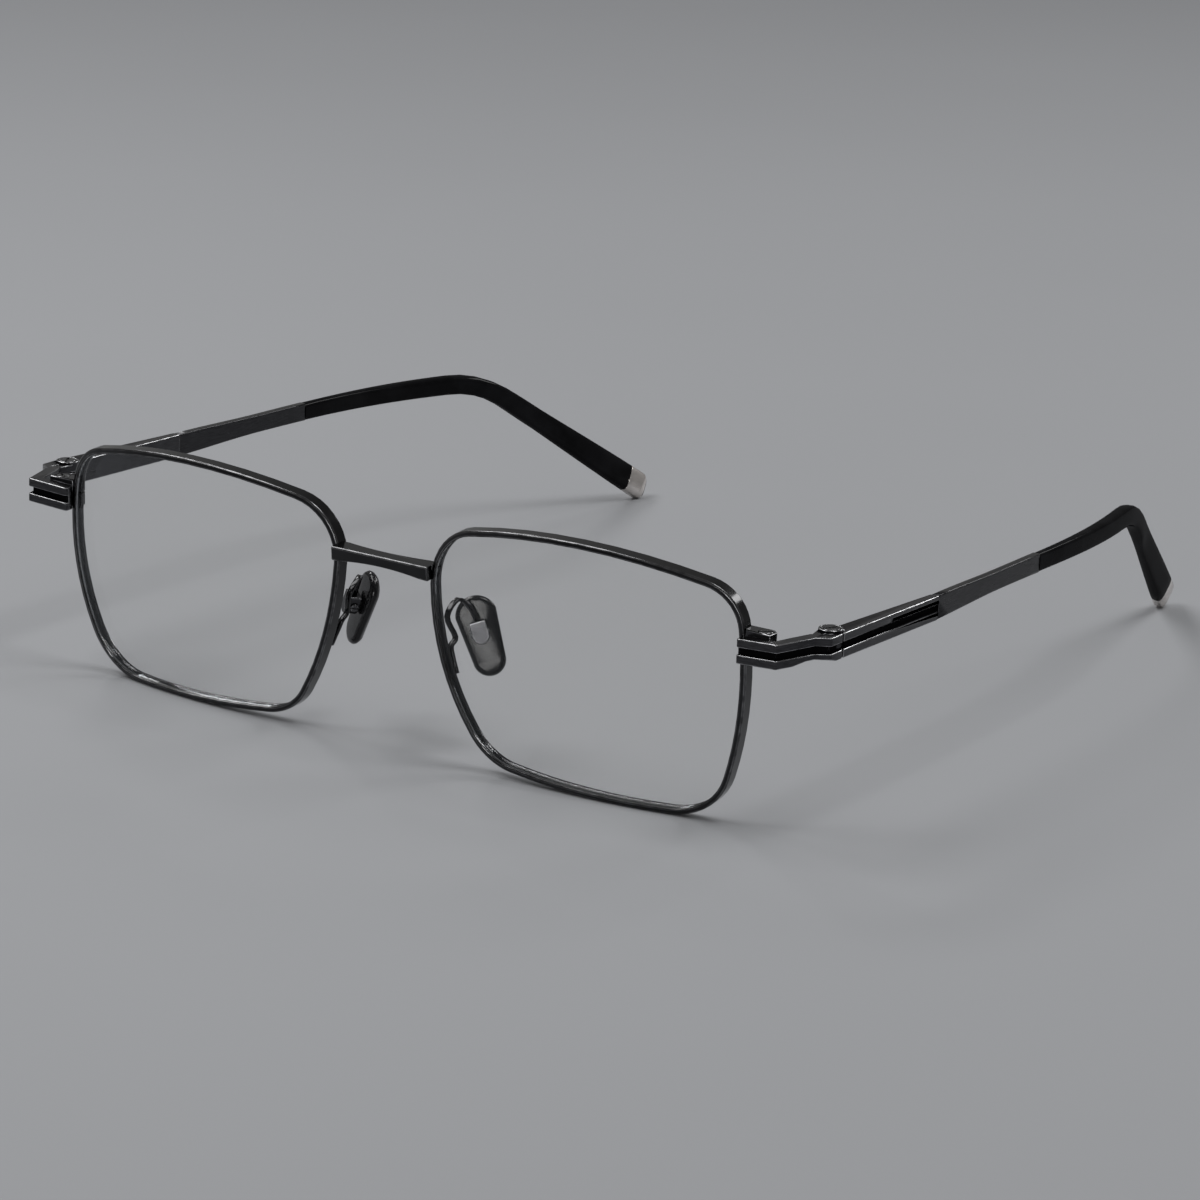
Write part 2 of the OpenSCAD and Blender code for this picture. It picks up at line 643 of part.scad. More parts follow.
// The bridge is arched below and hollowed behind, and sits over half of each rim's width
module bridge() {
    half = nose_face(bridge_rise - bridge_h_end / 2, 0).x;
    face = nose_face(bridge_rise, 0).y - bridge_proud;
    arch_r = arc_radius(bridge_arch, bridge_h_end - bridge_h_mid);
    back_r = arc_radius(bridge_hollow, bridge_d_end - bridge_d_mid);
    color(black_plating) difference() {
        translate([0, face, rim_z + bridge_rise * cos(tilt)]) rotate([tilt, 0, 0]) difference() {
            translate([-half, 0, -bridge_h_end]) cube([2 * half, bridge_d_end, bridge_h_end]);
            translate([0, -past, -bridge_h_mid - arch_r]) rotate([-90, 0, 0])
                cylinder(h = bridge_d_end + 2 * past, r = arch_r, $fn = 180);
            translate([0, bridge_d_mid + back_r, -bridge_h_end - past])
                cylinder(h = bridge_h_end + 2 * past, r = back_r, $fn = 180);
            for (z = [0, -bridge_h_end]) translate([0, 0, z]) rotate([45, 0, 0])
                cube([2 * half + past, bridge_bevel * sqrt(2), bridge_bevel * sqrt(2)], center = true);
        }
        for (side = [0, 1]) mirror([side, 0, 0]) rim_envelope(nose_seat_stations, solder_gap);
    }
}

// Outer face of the end piece in plan, from the rim round the corner to the split of the hinge
end_path = [bar_inner, bar_corner, jog_start, jog_end, split_face];

// Side view of the front bar, which rises towards its outer end, as a slab of height h
module rising_slab(h) {
    start = end_seat.x - bar_h;
    bend = bar_corner.x - bar_round;
    low = -(bend - start) * tan(front_bar_rise);
    translate([0, profile_span / 2, hinge_z]) rotate([90, 0, 0]) linear_extrude(profile_span) polygon([
        [start, low - h / 2], [bend, -h / 2], [bend + profile_span / 2, -h / 2],
        [bend + profile_span / 2, h / 2], [bend, h / 2], [start, low + h / 2]
    ]);
}

// Side view of the arm, whose underside is drawn in between the front bar and the hinge
module waisted_profile() {
    low = -bar_h / 2 + (bar_h - bar_h_waist);
    begin = bar_inner.y + bar_t + bar_round;
    translate([0, 0, hinge_z]) rotate([90, 0, 90]) linear_extrude(profile_span) polygon([
        [begin - profile_span / 2, -bar_h], [begin - bar_round, -bar_h], [begin, -bar_h / 2],
        [mix(begin, jog_start.y, waist_reach), low], [jog_end.y, low],
        [hinge_y - knuckle_r, -bar_h / 2], [hinge_y, -bar_h],
        [hinge_y, bar_h], [begin - profile_span / 2, bar_h]
    ]);
}

module end_piece() {
    slot = tongue_h + 2 * (washer_t + 2 * washer_play);
    web = [for (p = offset_path(end_path, bar_t - web_root)) p - [hinge_x, hinge_y]];
    color(black_plating) difference() {
        union() {
            difference() {
                intersection() {
                    linear_extrude(profile_span) rounded(bar_round) strip(end_path, 0, bar_t);
                    rising_slab(bar_h);
                    waisted_profile();
                }
                intersection() {
                    linear_extrude(profile_span) groove_plan(end_path, bar_t);
                    rising_slab(bar_groove_h);
                }
            }
            hinge_frame() {
                translate([0, 0, -bar_h / 2]) cylinder(h = bar_h + knuckle_proud, r = knuckle_r, $fn = 72);
                linear_extrude(bar_h, center = true)
                    polygon([[-knuckle_r, 0], web[2], web[3], web[4]]);
            }
        }
        hinge_frame() {
            cylinder(h = slot, r = knuckle_r + pocket_play, center = true, $fn = 72);
            cylinder(h = 3 * bar_h, r = pin_r + pin_play, center = true, $fn = 48);
            translate([0, 0, bar_h / 2 + knuckle_proud - pin_head_h])
                cylinder(h = bar_h, r = pin_head_r + head_play, $fn = 64);
        }
        rim_envelope(outer_seat_stations, solder_gap);
    }
}

// The closing block stands behind the front bar, outside the rim. The lock screw draws its halves
// together and closes the rim on the lens.
block_split = from_rim(rim_point([outer[0], outer[1], slit_angle], wire_w / 2, wire_d / 2)).z;
block_top = hinge_z + bar_h / 2 + block_proud;
block_front = bar_t - front_bar_proud - block_reach * sin(front_bar_turn);
block_back = block_front + block_d;
block_screw = [end_seat.x, end_seat.y] + [block_reach - lock_in_x, block_back - lock_in_y];
module closing_block(from, to, shank_hole) {
    difference() {
        translate([0, 0, from]) linear_extrude(to - from) difference() {
            translate([end_seat.x, end_seat.y]) polygon([
                [wire_w / 2, block_front], [block_reach, block_front],
                [block_reach, block_back - block_chamfer],
                [block_reach - block_chamfer, block_back], [-wire_w / 4, block_back]
            ]);
            strip(end_path, -past, bar_t + solder_gap);
        }
        translate([block_screw.x, block_screw.y, from - past])
            cylinder(h = to - from + 2 * past, r = shank_hole, $fn = 40);
        rim_envelope(outer_seat_stations, solder_gap);
    }
}

module closing_block_upper() {
    color(black_plating) difference() {
        closing_block(block_split + slit / 2, block_top, lock_shank_r + pin_play);
        translate([block_screw.x, block_screw.y, block_top - lock_head_h])
            cylinder(h = past, r = lock_head_r + head_play, $fn = 48);
    }
}

module closing_block_lower() {
    color(black_plating)
        closing_block(block_split - slit / 2 - block_low_h, block_split - slit / 2, lock_shank_r + pin_play);
}

// Slotted screw along Z, its head's top at the origin
module slotted_screw(head_r, head_h, shank_r, length) {
    difference() {
        union() {
            translate([0, 0, -head_h]) cylinder(h = head_h, r = head_r, $fn = 64);
            translate([0, 0, -length]) cylinder(h = length, r = shank_r, $fn = 48);
        }
        cube([head_r * 2.4, head_r * 0.3, head_h], center = true);
    }
}

module lock_screw() {
    color(dark_plating) translate([block_screw.x, block_screw.y, block_top + solder_gap]) rotate([0, 0, 35])
        slotted_screw(lock_head_r, lock_head_h, lock_shank_r, block_top - block_split + block_low_h);
}

module hinge_screw() {
    color(dark_plating) hinge_frame()
        translate([0, 0, bar_h / 2 + knuckle_proud + solder_gap]) rotate([0, 0, 60]) slotted_screw(pin_head_r, pin_head_h, pin_r, bar_h + knuckle_proud);
}

module hinge_washers() {
    color(silver) hinge_frame() for (side = [-1, 1])
        translate([0, 0, side * (tongue_h / 2 + washer_play + washer_t / 2)]) difference() {
            cylinder(h = washer_t, r = knuckle_r - washer_set_back, center = true, $fn = 64);
            cylinder(h = tongue_h, r = pin_r + pin_play, center = true, $fn = 48);
        }
}

// Temple pieces, in the hinge's frame

module temple_hinge_arm() {
    inner_start = [axis_inset - hinge_arm_t, -past];
    inner_end = arm_outer_end - [hinge_arm_t_end, 0];
    color(black_plating) hinge_frame() difference() {
        union() {
            difference() {
                rotate([-arm_pitch, 0, 0]) difference() {
                    linear_extrude(bar_h, center = true)
                        polygon([[axis_inset, -past], arm_outer_end, inner_end, inner_start]);
                    linear_extrude(bar_groove_h, center = true)
                        strip([[axis_inset, -2 * past], arm_outer_end], -past, bar_groove_d);
                }
                translate([0, (split_gap - profile_span) / 2, 0]) cube(profile_span, center = true);
                cylinder(h = profile_span, r = knuckle_r + pocket_play, center = true, $fn = 72);
            }
            cylinder(h = tongue_h, r = knuckle_r - tongue_set_back, center = true, $fn = 72);
            translate([-neck_w / 4, 0, -tongue_h / 2]) cube([neck_w, knuckle_r + past, tongue_h]);
        }
        cylinder(h = profile_span, r = pin_r + pin_play, center = true, $fn = 48);
    }
}

module temple_bar() {
    steps = 10;
    shoulder = sleeve_at - solder_gap;
    flat = [
        for (k = [0 : steps]) let (s = mix(solder_gap, shoulder, k / steps))
            ring_at(s, soft_box(flat_t, flat_height(s), flat_squareness, tip_points))
    ];
    core = concat(
        [core_ring(shoulder, 0)],
        [for (k = [1 : core_steps - 1]) core_ring(core_station(k), 0)],
        [core_ring(core_station(core_steps) - core_end_gap, 0)]
    );
    color(dark_plating) hinge_frame() skin(reversed(concat(flat, core)));
}

module temple_tip() {
    steps = 26;
    channel = [for (k = [0 : core_steps]) core_ring(core_station(k), 2 * core_play)];
    outside = [for (k = [0 : steps]) tip_ring(mix(sleeve_at, cap_at, k / steps), 0)];
    spigot = [
        for (s = [cap_at, cap_at + spigot_len])
            ring_at(s, tip_section(tip_thick(s) - 2 * cap_wall, tip_height(s) - 2 * cap_wall))
    ];
    color(acetate) hinge_frame() skin(reversed(concat(reversed(channel), outside, spigot)));
}

module tip_cap() {
    wall = cap_wall - core_play;
    socket = [
        for (s = [cap_at + spigot_len + core_play, cap_at + solder_gap])
            ring_at(s, tip_section(tip_thick(s) - 2 * wall, tip_height(s) - 2 * wall))
    ];
    color(silver) hinge_frame() skin(reversed(concat(socket, cap_outer_rings)));
}

// Nose pad pieces. In the pad's frame +Z runs up the pad, +X leaves its back towards the box,
// and the screw and the rocking axis lie along Y.

pad_foot = nose_face(strap_foot_z, wire_d);
pad_middle = [pad_x, nose_face(strap_foot_z, 0).y + pad_back, rim_z + pad_z];
module pad_frame() translate(pad_middle) rotate([pad_pitch, -pad_lean, -pad_splay]) children();
function from_pad(p) = turn_z(turn_y(turn_x(p, pad_pitch), -pad_lean), -pad_splay) + pad_middle;
pad_back_x = pad_t * 0.45;
box_mouth = pad_back_x + box_gap;
pad_axis_x = box_mouth + box_d - box_floor - tab_play - tab_reach;

module pad_outline(margin) {
    hull() {
        translate([0, pad_len / 2 - pad_r_up]) circle(r = pad_r_up - margin, $fn = 40);
        translate([0, -pad_len / 2 + pad_r_low]) circle(r = pad_r_low - margin, $fn = 40);
    }
}
module across_pad(from, to) translate([from, 0, 0]) rotate([90, 0, 90]) linear_extrude(to - from) children();

// Depth of silicone over the back of the core plate
plate_cover = 0.45;
plate_x = pad_back_x - plate_cover - plate_t;

// Ring of the pad body at a depth, with a margin to the outline
pad_points = 36;
function pad_ring(x, margin) = [
    for (k = [0 : pad_points - 1])
        let (
            t = 360 * k / pad_points,
            r = (sin(t) > 0 ? pad_r_up : pad_r_low) - margin,
            low = pad_r_low - pad_len / 2, high = pad_len / 2 - pad_r_up
        )
            [x, r * cos(t), (sin(t) > 0 ? high : low) + r * sin(t)]
];
// Crown of the pad from face to back: [share of the thickness, margin to the outline]
pad_crown = [[0.97, 2.3], [0.88, 1.3], [0.7, 0.5], [0.45, 0.08], [0.28, 0], [0.08, 0.25], [0, 0.75]];
module nose_pad() {
    face = pad_back_x - pad_t;
    rings = [for (q = pad_crown) pad_ring(pad_back_x - q[0] * pad_t, q[1])];
    color(silicone) pad_frame() difference() {
        skin(rings, [face, 0, (pad_r_low - pad_r_up) / 2], [pad_back_x, 0, (pad_r_low - pad_r_up) / 2]);
        across_pad(plate_x - core_play, plate_x + plate_t + core_play) pad_outline(pad_margin - core_play);
        translate([plate_x, -tab_w / 2 - core_play, box_up - tab_h / 2 - core_play])
            cube([pad_t, tab_w + 2 * core_play, tab_h + 2 * core_play]);
    }
}

module nose_pad_core() {
    color(acetate) pad_frame() difference() {
        union() {
            across_pad(plate_x, plate_x + plate_t) pad_outline(pad_margin);
            translate([plate_x, -tab_w / 2, box_up - tab_h / 2])
                cube([pad_axis_x - plate_x, tab_w, tab_h]);
            translate([pad_axis_x, 0, box_up]) rotate([90, 0, 0])
                cylinder(h = tab_w, r = tab_reach, center = true, $fn = 40);
        }
        translate([pad_axis_x, 0, box_up]) rotate([90, 0, 0])
            cylinder(h = 2 * box_w, r = pad_pin_r + pin_play, center = true, $fn = 36);
    }
}

// Cup with a round floor, open towards the pad
module pad_box_shape(margin) {
    translate([-box_w / 2 + margin, 0]) square([box_w - 2 * margin, box_h - box_w / 2 - margin]);
    circle(r = box_w / 2 - margin, $fn = 48);
}
module pad_box() {
    wall = (box_w - tab_w) / 2 - tab_play;
    color(black_plating) pad_frame() difference() {
        translate([0, 0, box_up - box_h / 2 + box_w / 2]) difference() {
            across_pad(box_mouth, box_mouth + box_d) pad_box_shape(0);
            across_pad(box_mouth - past, box_mouth + box_d - box_floor) pad_box_shape(wall);
        }
        translate([pad_axis_x, 0, box_up]) rotate([90, 0, 0])
            cylinder(h = 2 * box_w, r = pad_pin_r + pin_play, center = true, $fn = 36);
    }
}

module pad_screw() {
    color(dark_plating) pad_frame()
        translate([pad_axis_x, -box_w / 2 - pad_head_h - solder_gap, box_up]) rotate([90, 0, 0]) slotted_screw(pad_head_r, pad_head_h, pad_pin_r, box_w + pad_head_h + tab_play);
}

// The strap leaves the back of the rim, kinks backwards, loops over and comes down on the box
strap_seat = from_pad([box_mouth + box_d / 2, 0, box_up + box_h / 2 + solder_gap]);
strap_start = pad_foot + [0, strap_t / 2 + solder_gap, 0];
strap_route = [
    strap_start,
    strap_start + [-kink_in * 0.62, 0.12 * kink_back, kink_up * 0.48],
    strap_start + [-kink_in * 0.94, 0.3 * kink_back, kink_up * 0.78],
    strap_start + [-kink_in, kink_back, kink_up],
    strap_start + [-kink_in * 1.62, kink_back / 2, kink_up + loop_rise],
    strap_seat + [-loop_in, -loop_front, loop_up],
    strap_seat + [-loop_in * 0.43, -loop_front * 0.26, loop_up * 0.6],
    strap_seat
];
function spline(p, i, t) =
    let (a = p[max(i - 1, 0)], b = p[i], c = p[i + 1], d = p[min(i + 2, len(p) - 1)])
        b + (c - a) / 2 * t + (a - 2.5 * b + 2 * c - d / 2) * t * t + (1.5 * (b - c) + (d - a) / 2) * t * t * t;
strap_steps = 4;
strap_points = concat(
    [
        for (i = [0 : len(strap_route) - 2])
            for (k = [0 : strap_steps - 1]) spline(strap_route, i, k / strap_steps)
    ],
    [last(strap_route)]
);

module pad_arm() {
    n = len(strap_points);
    section = bevelled_box(strap_w, strap_t, strap_bevel);
    rings = [
        for (i = [0 : n - 1])
            let (
                along = strap_points[min(i + 1, n - 1)] - strap_points[max(i - 1, 0)],
                up = cross(along, [1, 0, 0]) / norm(cross(along, [1, 0, 0])),
                side = cross(up, along) / norm(along)
            )
                [for (q = section) strap_points[i] + q[0] * side + q[1] * up]
    ];
    color(black_plating) skin(reversed(rings));
}

on_left() bridge();
on_left() eyewire();  // left_eyewire
on_right() eyewire();  // right_eyewire
on_left() lens();  // left_lens
on_right() lens();  // right_lens
on_left() end_piece();  // left_end_piece
on_right() end_piece();  // right_end_piece
on_left() closing_block_upper();  // left_closing_block_upper
on_right() closing_block_upper();  // right_closing_block_upper
on_left() closing_block_lower();  // left_closing_block_lower
on_right() closing_block_lower();  // right_closing_block_lower
on_left() lock_screw();  // left_lock_screw
on_right() lock_screw();  // right_lock_screw
on_left() pad_arm();  // left_pad_arm
on_right() pad_arm();  // right_pad_arm
on_left() pad_box();  // left_pad_box
on_right() pad_box();  // right_pad_box
on_left() pad_screw();  // left_pad_screw
on_right() pad_screw();  // right_pad_screw
on_left() nose_pad_core();  // left_nose_pad_core
on_right() nose_pad_core();  // right_nose_pad_core
on_left() nose_pad();  // left_nose_pad
on_right() nose_pad();  // right_nose_pad
on_left() hinge_screw();  // left_hinge_screw
on_right() hinge_screw();  // right_hinge_screw
on_left() hinge_washers();  // left_hinge_washers
on_right() hinge_washers();  // right_hinge_washers
on_left() temple_hinge_arm();  // left_temple_hinge_arm
on_right() temple_hinge_arm();  // right_temple_hinge_arm
on_left() temple_bar();  // left_temple_bar
on_right() temple_bar();  // right_temple_bar
on_left() temple_tip();  // left_temple_tip
on_right() temple_tip();  // right_temple_tip
on_left() tip_cap();  // left_tip_cap
on_right() tip_cap();  // right_tip_cap
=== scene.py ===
"""Dresses the rectangular metal eyeglasses: softened edges, finishes, floor, light and camera."""

import json
import math

import bmesh
import bpy
from mathutils import Matrix, Vector

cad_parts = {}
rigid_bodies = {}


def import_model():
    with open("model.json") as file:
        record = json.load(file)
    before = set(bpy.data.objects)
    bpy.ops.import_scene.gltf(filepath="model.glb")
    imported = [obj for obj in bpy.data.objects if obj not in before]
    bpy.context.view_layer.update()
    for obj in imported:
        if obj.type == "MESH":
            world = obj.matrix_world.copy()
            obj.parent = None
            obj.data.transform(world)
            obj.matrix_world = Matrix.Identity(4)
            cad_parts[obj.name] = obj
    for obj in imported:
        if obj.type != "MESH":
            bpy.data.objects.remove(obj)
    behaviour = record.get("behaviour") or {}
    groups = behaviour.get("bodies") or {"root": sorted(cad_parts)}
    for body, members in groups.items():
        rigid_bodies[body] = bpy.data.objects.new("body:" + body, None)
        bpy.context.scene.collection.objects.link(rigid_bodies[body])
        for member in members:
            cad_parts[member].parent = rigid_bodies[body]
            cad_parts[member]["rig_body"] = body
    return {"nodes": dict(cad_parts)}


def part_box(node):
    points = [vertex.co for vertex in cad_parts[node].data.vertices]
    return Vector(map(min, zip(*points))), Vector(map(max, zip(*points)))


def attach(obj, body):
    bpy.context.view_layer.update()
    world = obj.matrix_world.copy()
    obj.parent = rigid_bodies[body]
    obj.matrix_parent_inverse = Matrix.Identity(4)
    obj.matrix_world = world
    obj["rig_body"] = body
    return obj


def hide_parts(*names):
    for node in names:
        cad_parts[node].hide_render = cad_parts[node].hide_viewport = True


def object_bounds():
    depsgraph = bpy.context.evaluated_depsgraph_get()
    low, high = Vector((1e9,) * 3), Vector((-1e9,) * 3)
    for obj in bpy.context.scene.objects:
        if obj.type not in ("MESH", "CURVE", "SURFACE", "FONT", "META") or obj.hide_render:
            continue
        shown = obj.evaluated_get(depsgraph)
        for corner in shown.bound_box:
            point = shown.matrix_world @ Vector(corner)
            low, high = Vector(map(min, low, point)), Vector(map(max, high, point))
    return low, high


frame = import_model()
CAD_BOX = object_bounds()

bl_info = {
    "name": "Rectangular Eyeglasses",
    "version": (1, 0, 0),
    "blender": (4, 5, 0),
    "location": "View3D > Sidebar > Eyeglasses",
    "description": "Finishes and studio for a pair of metal eyeglasses",
    "category": "Object",
}

MM = 0.001
SIDES = ("left", "right")
PHOTO_WIDTH = 1200
SENSOR_WIDTH = 36.0
FOCAL_PIXELS = 4834.08
CAMERA_PLACE = Vector((0.410846, -0.626107, 0.224042))
CAMERA_YAW = math.radians(-33.958)
CAMERA_PITCH = math.radians(16.168)
CAMERA_ROLL = math.radians(1.951)
MERGE_DISTANCE = 2e-7
FLAT_ANGLE = math.radians(0.6)
TIP_YAW = math.radians(17.5)
TIP_PITCH = math.radians(33)
TIP_FOOT = Vector((53.0, 74.9, 1.6)) * MM
# distances before the foot of the tip, along its drop
TIP_TURN_FROM = 38 * MM
TIP_TURN_TO = 28 * MM
CAP_ROUND = 1.3 * MM
CAP_GROWN_AT = 3 * MM
GROWTH_FADES_FROM = 12 * MM
GROWTH_FADES_TO = 5 * MM
# width of the cap's very end, as a share of its full width, in the solid and here
CAP_PLAIN_END = 0.5
CAP_END = 0.66
CAP_END_WIDENS = 0.22 / MM
ROUNDED_FROM = math.radians(30)
CAP_ROUNDED_FROM = math.radians(40)
ROUNDING_SEGMENTS = 2
# name, place, width, height and radiance of each soft lamp
LAMPS = (
    ("lamp_key", (-0.42, -0.24, 0.76), 0.55, 0.42, 4.8),
    ("lamp_top", (0.34, 0.04, 0.86), 0.4, 0.3, 6.5),
    ("lamp_edge", (0.27, 0.76, 0.5), 0.42, 0.16, 9.0),
    ("lamp_fill", (-0.66, 0.3, 0.6), 0.3, 0.16, 8.0),
    ("lamp_front", (0.42, -0.92, 0.17), 0.3, 0.26, 5.0),
)
LAMP_TARGET = (0.0, 0.0, 0.02)


class EdgeSettings(bpy.types.PropertyGroup):
    """How round the pieces' edges are."""

    wire_edge: bpy.props.FloatProperty(
        name="Wire edge", description="Rounding along the rim wire and the bridge",
        default=0.11 * MM, min=0.0, unit="LENGTH")
    block_edge: bpy.props.FloatProperty(
        name="Block edge", description="Rounding along the end pieces, hinge arms and closing blocks",
        default=0.15 * MM, min=0.0, unit="LENGTH")
    screw_edge: bpy.props.FloatProperty(
        name="Screw edge", description="Rounding of the screw heads and slots",
        default=0.07 * MM, min=0.0, unit="LENGTH")
    cap_edge: bpy.props.FloatProperty(
        name="Cap edge", description="Rounding of the tip caps and tips",
        default=0.1 * MM, min=0.0, unit="LENGTH")
    tip_turn: bpy.props.FloatProperty(
        name="Tip turn", description="How far the drop of each tip is turned about its own length",
        default=math.radians(17), subtype="ANGLE")
    tip_thinning: bpy.props.FloatProperty(
        name="Tip thinning", description="Thickness of the tip's drop as a share of the plain solid's",
        default=0.58, min=0.4, max=1.0, subtype="FACTOR")
    cap_growth: bpy.props.FloatProperty(
        name="Cap growth", description="How much longer the tip caps are than the plain solids",
        default=0.9 * MM, min=0.0, unit="LENGTH")
    smooth_angle: bpy.props.FloatProperty(
        name="Smooth angle", description="Faces that meet at less than this are shaded as one surface",
        default=math.radians(32), subtype="ANGLE")


class FinishSettings(bpy.types.PropertyGroup):
    """Colours and gloss of the finishes."""

    plating: bpy.props.FloatVectorProperty(
        name="Plating", description="Black plating on rims, blocks and arms",
        default=(0.024, 0.024, 0.0255), subtype="COLOR", size=3)
    # painted highlight: lighter colour of the roundings, standing in for the bright lines light draws
    # along the edges
    plating_edge: bpy.props.FloatVectorProperty(
        name="Plating edge", description="Where the plating is rubbed thin along edges",
        default=(0.17, 0.17, 0.175), subtype="COLOR", size=3)
    # painted shade: this near-black is blended into the colour wherever ambient occlusion finds grooves
    # and corners
    hollow_colour: bpy.props.FloatVectorProperty(
        name="Hollows", description="Dull black deep in grooves and corners",
        default=(0.004, 0.004, 0.0045), subtype="COLOR", size=3)
    plating_roughness: bpy.props.FloatProperty(
        name="Plating roughness", description="Satin of the black plating",
        default=0.15, min=0.0, max=1.0, subtype="FACTOR")
    bar_colour: bpy.props.FloatVectorProperty(
        name="Temple bar", description="Brushed dark titanium of the temple bars",
        default=(0.034, 0.034, 0.036), subtype="COLOR", size=3)
    acetate_colour: bpy.props.FloatVectorProperty(
        name="Tips", description="Black acetate of the temple tips",
        default=(0.004, 0.004, 0.0045), subtype="COLOR", size=3)
    cap_colour: bpy.props.FloatVectorProperty(
        name="Tip caps", description="Bare metal of the tip caps",
        default=(0.80, 0.755, 0.72), subtype="COLOR", size=3)
    pad_colour: bpy.props.FloatVectorProperty(
        name="Nose pads", description="Smoky silicone of the nose pads",
        default=(0.007, 0.007, 0.008), subtype="COLOR", size=3)
    lens_tint: bpy.props.FloatVectorProperty(
        name="Lens tint", description="Light that passes the lens",
        default=(0.988, 0.988, 0.986), subtype="COLOR", size=3)


class StudioSettings(bpy.types.PropertyGroup):
    """Floor, lamps and camera."""

    floor_colour: bpy.props.FloatVectorProperty(
        name="Floor", description="Colour of the plain pale floor",
        default=(0.305, 0.311, 0.325), subtype="COLOR", size=3)
    floor_size: bpy.props.FloatProperty(
        name="Floor size", description="Width of the floor",
        default=9.0, min=1.0, unit="LENGTH")
    lens_length: bpy.props.FloatProperty(
        name="Focal length", description="Camera lens in millimetres",
        default=FOCAL_PIXELS / PHOTO_WIDTH * SENSOR_WIDTH, min=1.0)
    lamp_level: bpy.props.FloatProperty(
        name="Lamp level", description="Brightness of all lamps together",
        default=1.0, min=0.0)
    sky_level: bpy.props.FloatProperty(
        name="Sky level", description="Brightness of the plain surroundings",
        default=0.2, min=0.0)


class ShaderValue:
    """One shader socket that takes part in ordinary arithmetic."""

    def __init__(self, finish, socket):
        self.finish = finish
        self.socket = socket

    def combine(self, operation, first, second):
        return self.finish.node("ShaderNodeMath", {"operation": operation}, {0: first, 1: second})

    def __add__(self, other):
        return self.combine("ADD", self, other)

    def __radd__(self, other):
        return self.combine("ADD", other, self)

    def __rsub__(self, other):
        return self.combine("SUBTRACT", other, self)

    def __mul__(self, other):
        return self.combine("MULTIPLY", self, other)

    def __pow__(self, other):
        return self.combine("POWER", self, other)


class Finish:
    """A material written as expressions."""

    def __init__(self, name):
        self.material = bpy.data.materials.new(name)
        self.material.use_nodes = True
        self.tree = self.material.node_tree
        self.tree.nodes.clear()
        self.place = self.node("ShaderNodeTexCoord", {}, {}, "Object")

    def node(self, kind, settings, sockets, output=0):
        made = self.tree.nodes.new(kind)
        for key, value in settings.items():
            setattr(made, key, value)
        for key, value in sockets.items():
            if isinstance(value, ShaderValue):
                self.tree.links.new(value.socket, made.inputs[key])
            else:
                made.inputs[key].default_value = value
        return ShaderValue(self, made.outputs[output]) if len(made.outputs) else None

    def spots(self, per_metre, stretch=(1, 1, 1), detail=3.0):
        where = self.node("ShaderNodeMapping", {}, {
            "Vector": self.place, "Scale": [per_metre * s for s in stretch]})
        return self.node("ShaderNodeTexNoise", {}, {"Vector": where, "Scale": 1.0, "Detail": detail})

    def between(self, value, low, high, lowest=0.0, highest=1.0):
        return self.node("ShaderNodeMapRange", {"clamp": True}, {
            "Value": value, "From Min": low, "From Max": high, "To Min": lowest, "To Max": highest})

    def blend(self, factor, first, second):
        return self.node("ShaderNodeMix", {"data_type": "RGBA"}, {
            0: factor, 6: opaque(first), 7: opaque(second)}, 2)

    def bump(self, height, strength, distance):
        return self.node("ShaderNodeBump", {}, {
            "Height": height, "Strength": strength, "Distance": distance})

    def edges(self, radius):
        """1 along the piece's edges, 0 on its faces."""
        rounded = self.node("ShaderNodeBevel", {"samples": 6}, {"Radius": radius})
        true_normal = self.node("ShaderNodeNewGeometry", {}, {}, "Normal")
        alike = self.node("ShaderNodeVectorMath", {"operation": "DOT_PRODUCT"}, {
            0: rounded, 1: true_normal}, "Value")
        return self.between(1.0 - alike, 0.015, 0.12)

    def hollows(self, reach):
        """Mask of painted shade from ambient occlusion: 1 deep in grooves and corners, 0 on open faces.
        """
        open_sky = self.node("ShaderNodeAmbientOcclusion", {"samples": 16, "only_local": True}, {
            "Distance": reach}, "AO")
        return self.between(open_sky, 0.84, 0.98, 1.0, 0.0)

    def surface(self, **sockets):
        named = {key.replace("_", " ").title(): value for key, value in sockets.items()}
        if "Specular" in named:
            named["Specular IOR Level"] = named.pop("Specular")
        return self.node("ShaderNodeBsdfPrincipled", {}, {
            key: opaque(value) if "Color" in key or "Tint" in key else value
            for key, value in named.items()})

    def close(self, shader):
        self.node("ShaderNodeOutputMaterial", {}, {"Surface": shader})
        return self.material


def opaque(colour):
    return colour if isinstance(colour, ShaderValue) else (*colour[:3], 1.0)


def black_plating(looks):
    """Satin black over the drawn wires, cloudy, with painted shade: near-black blended in deep in
    grooves and corners. The painted edge highlights lie on the roundings, in their own material.
    """
    finish = Finish("black_plating")
    cloud = finish.spots(260)
    grain = finish.spots(9000, detail=2.0)
    darker = [c * 0.7 for c in looks.plating]
    base = finish.blend(finish.between(cloud, 0.35, 0.65), darker, looks.plating)
    return finish.close(finish.surface(
        # painted shade: the colour goes to near-black in grooves and corners
        base_color=finish.blend(finish.hollows(0.5 * MM), base, looks.hollow_colour),
        metallic=1.0,
        roughness=looks.plating_roughness - 0.04 + finish.between(cloud, 0.3, 0.7, 0.0, 0.1),
        coat_weight=0.35, coat_roughness=0.06,
        normal=finish.bump(grain, 0.1, 0.004 * MM)))


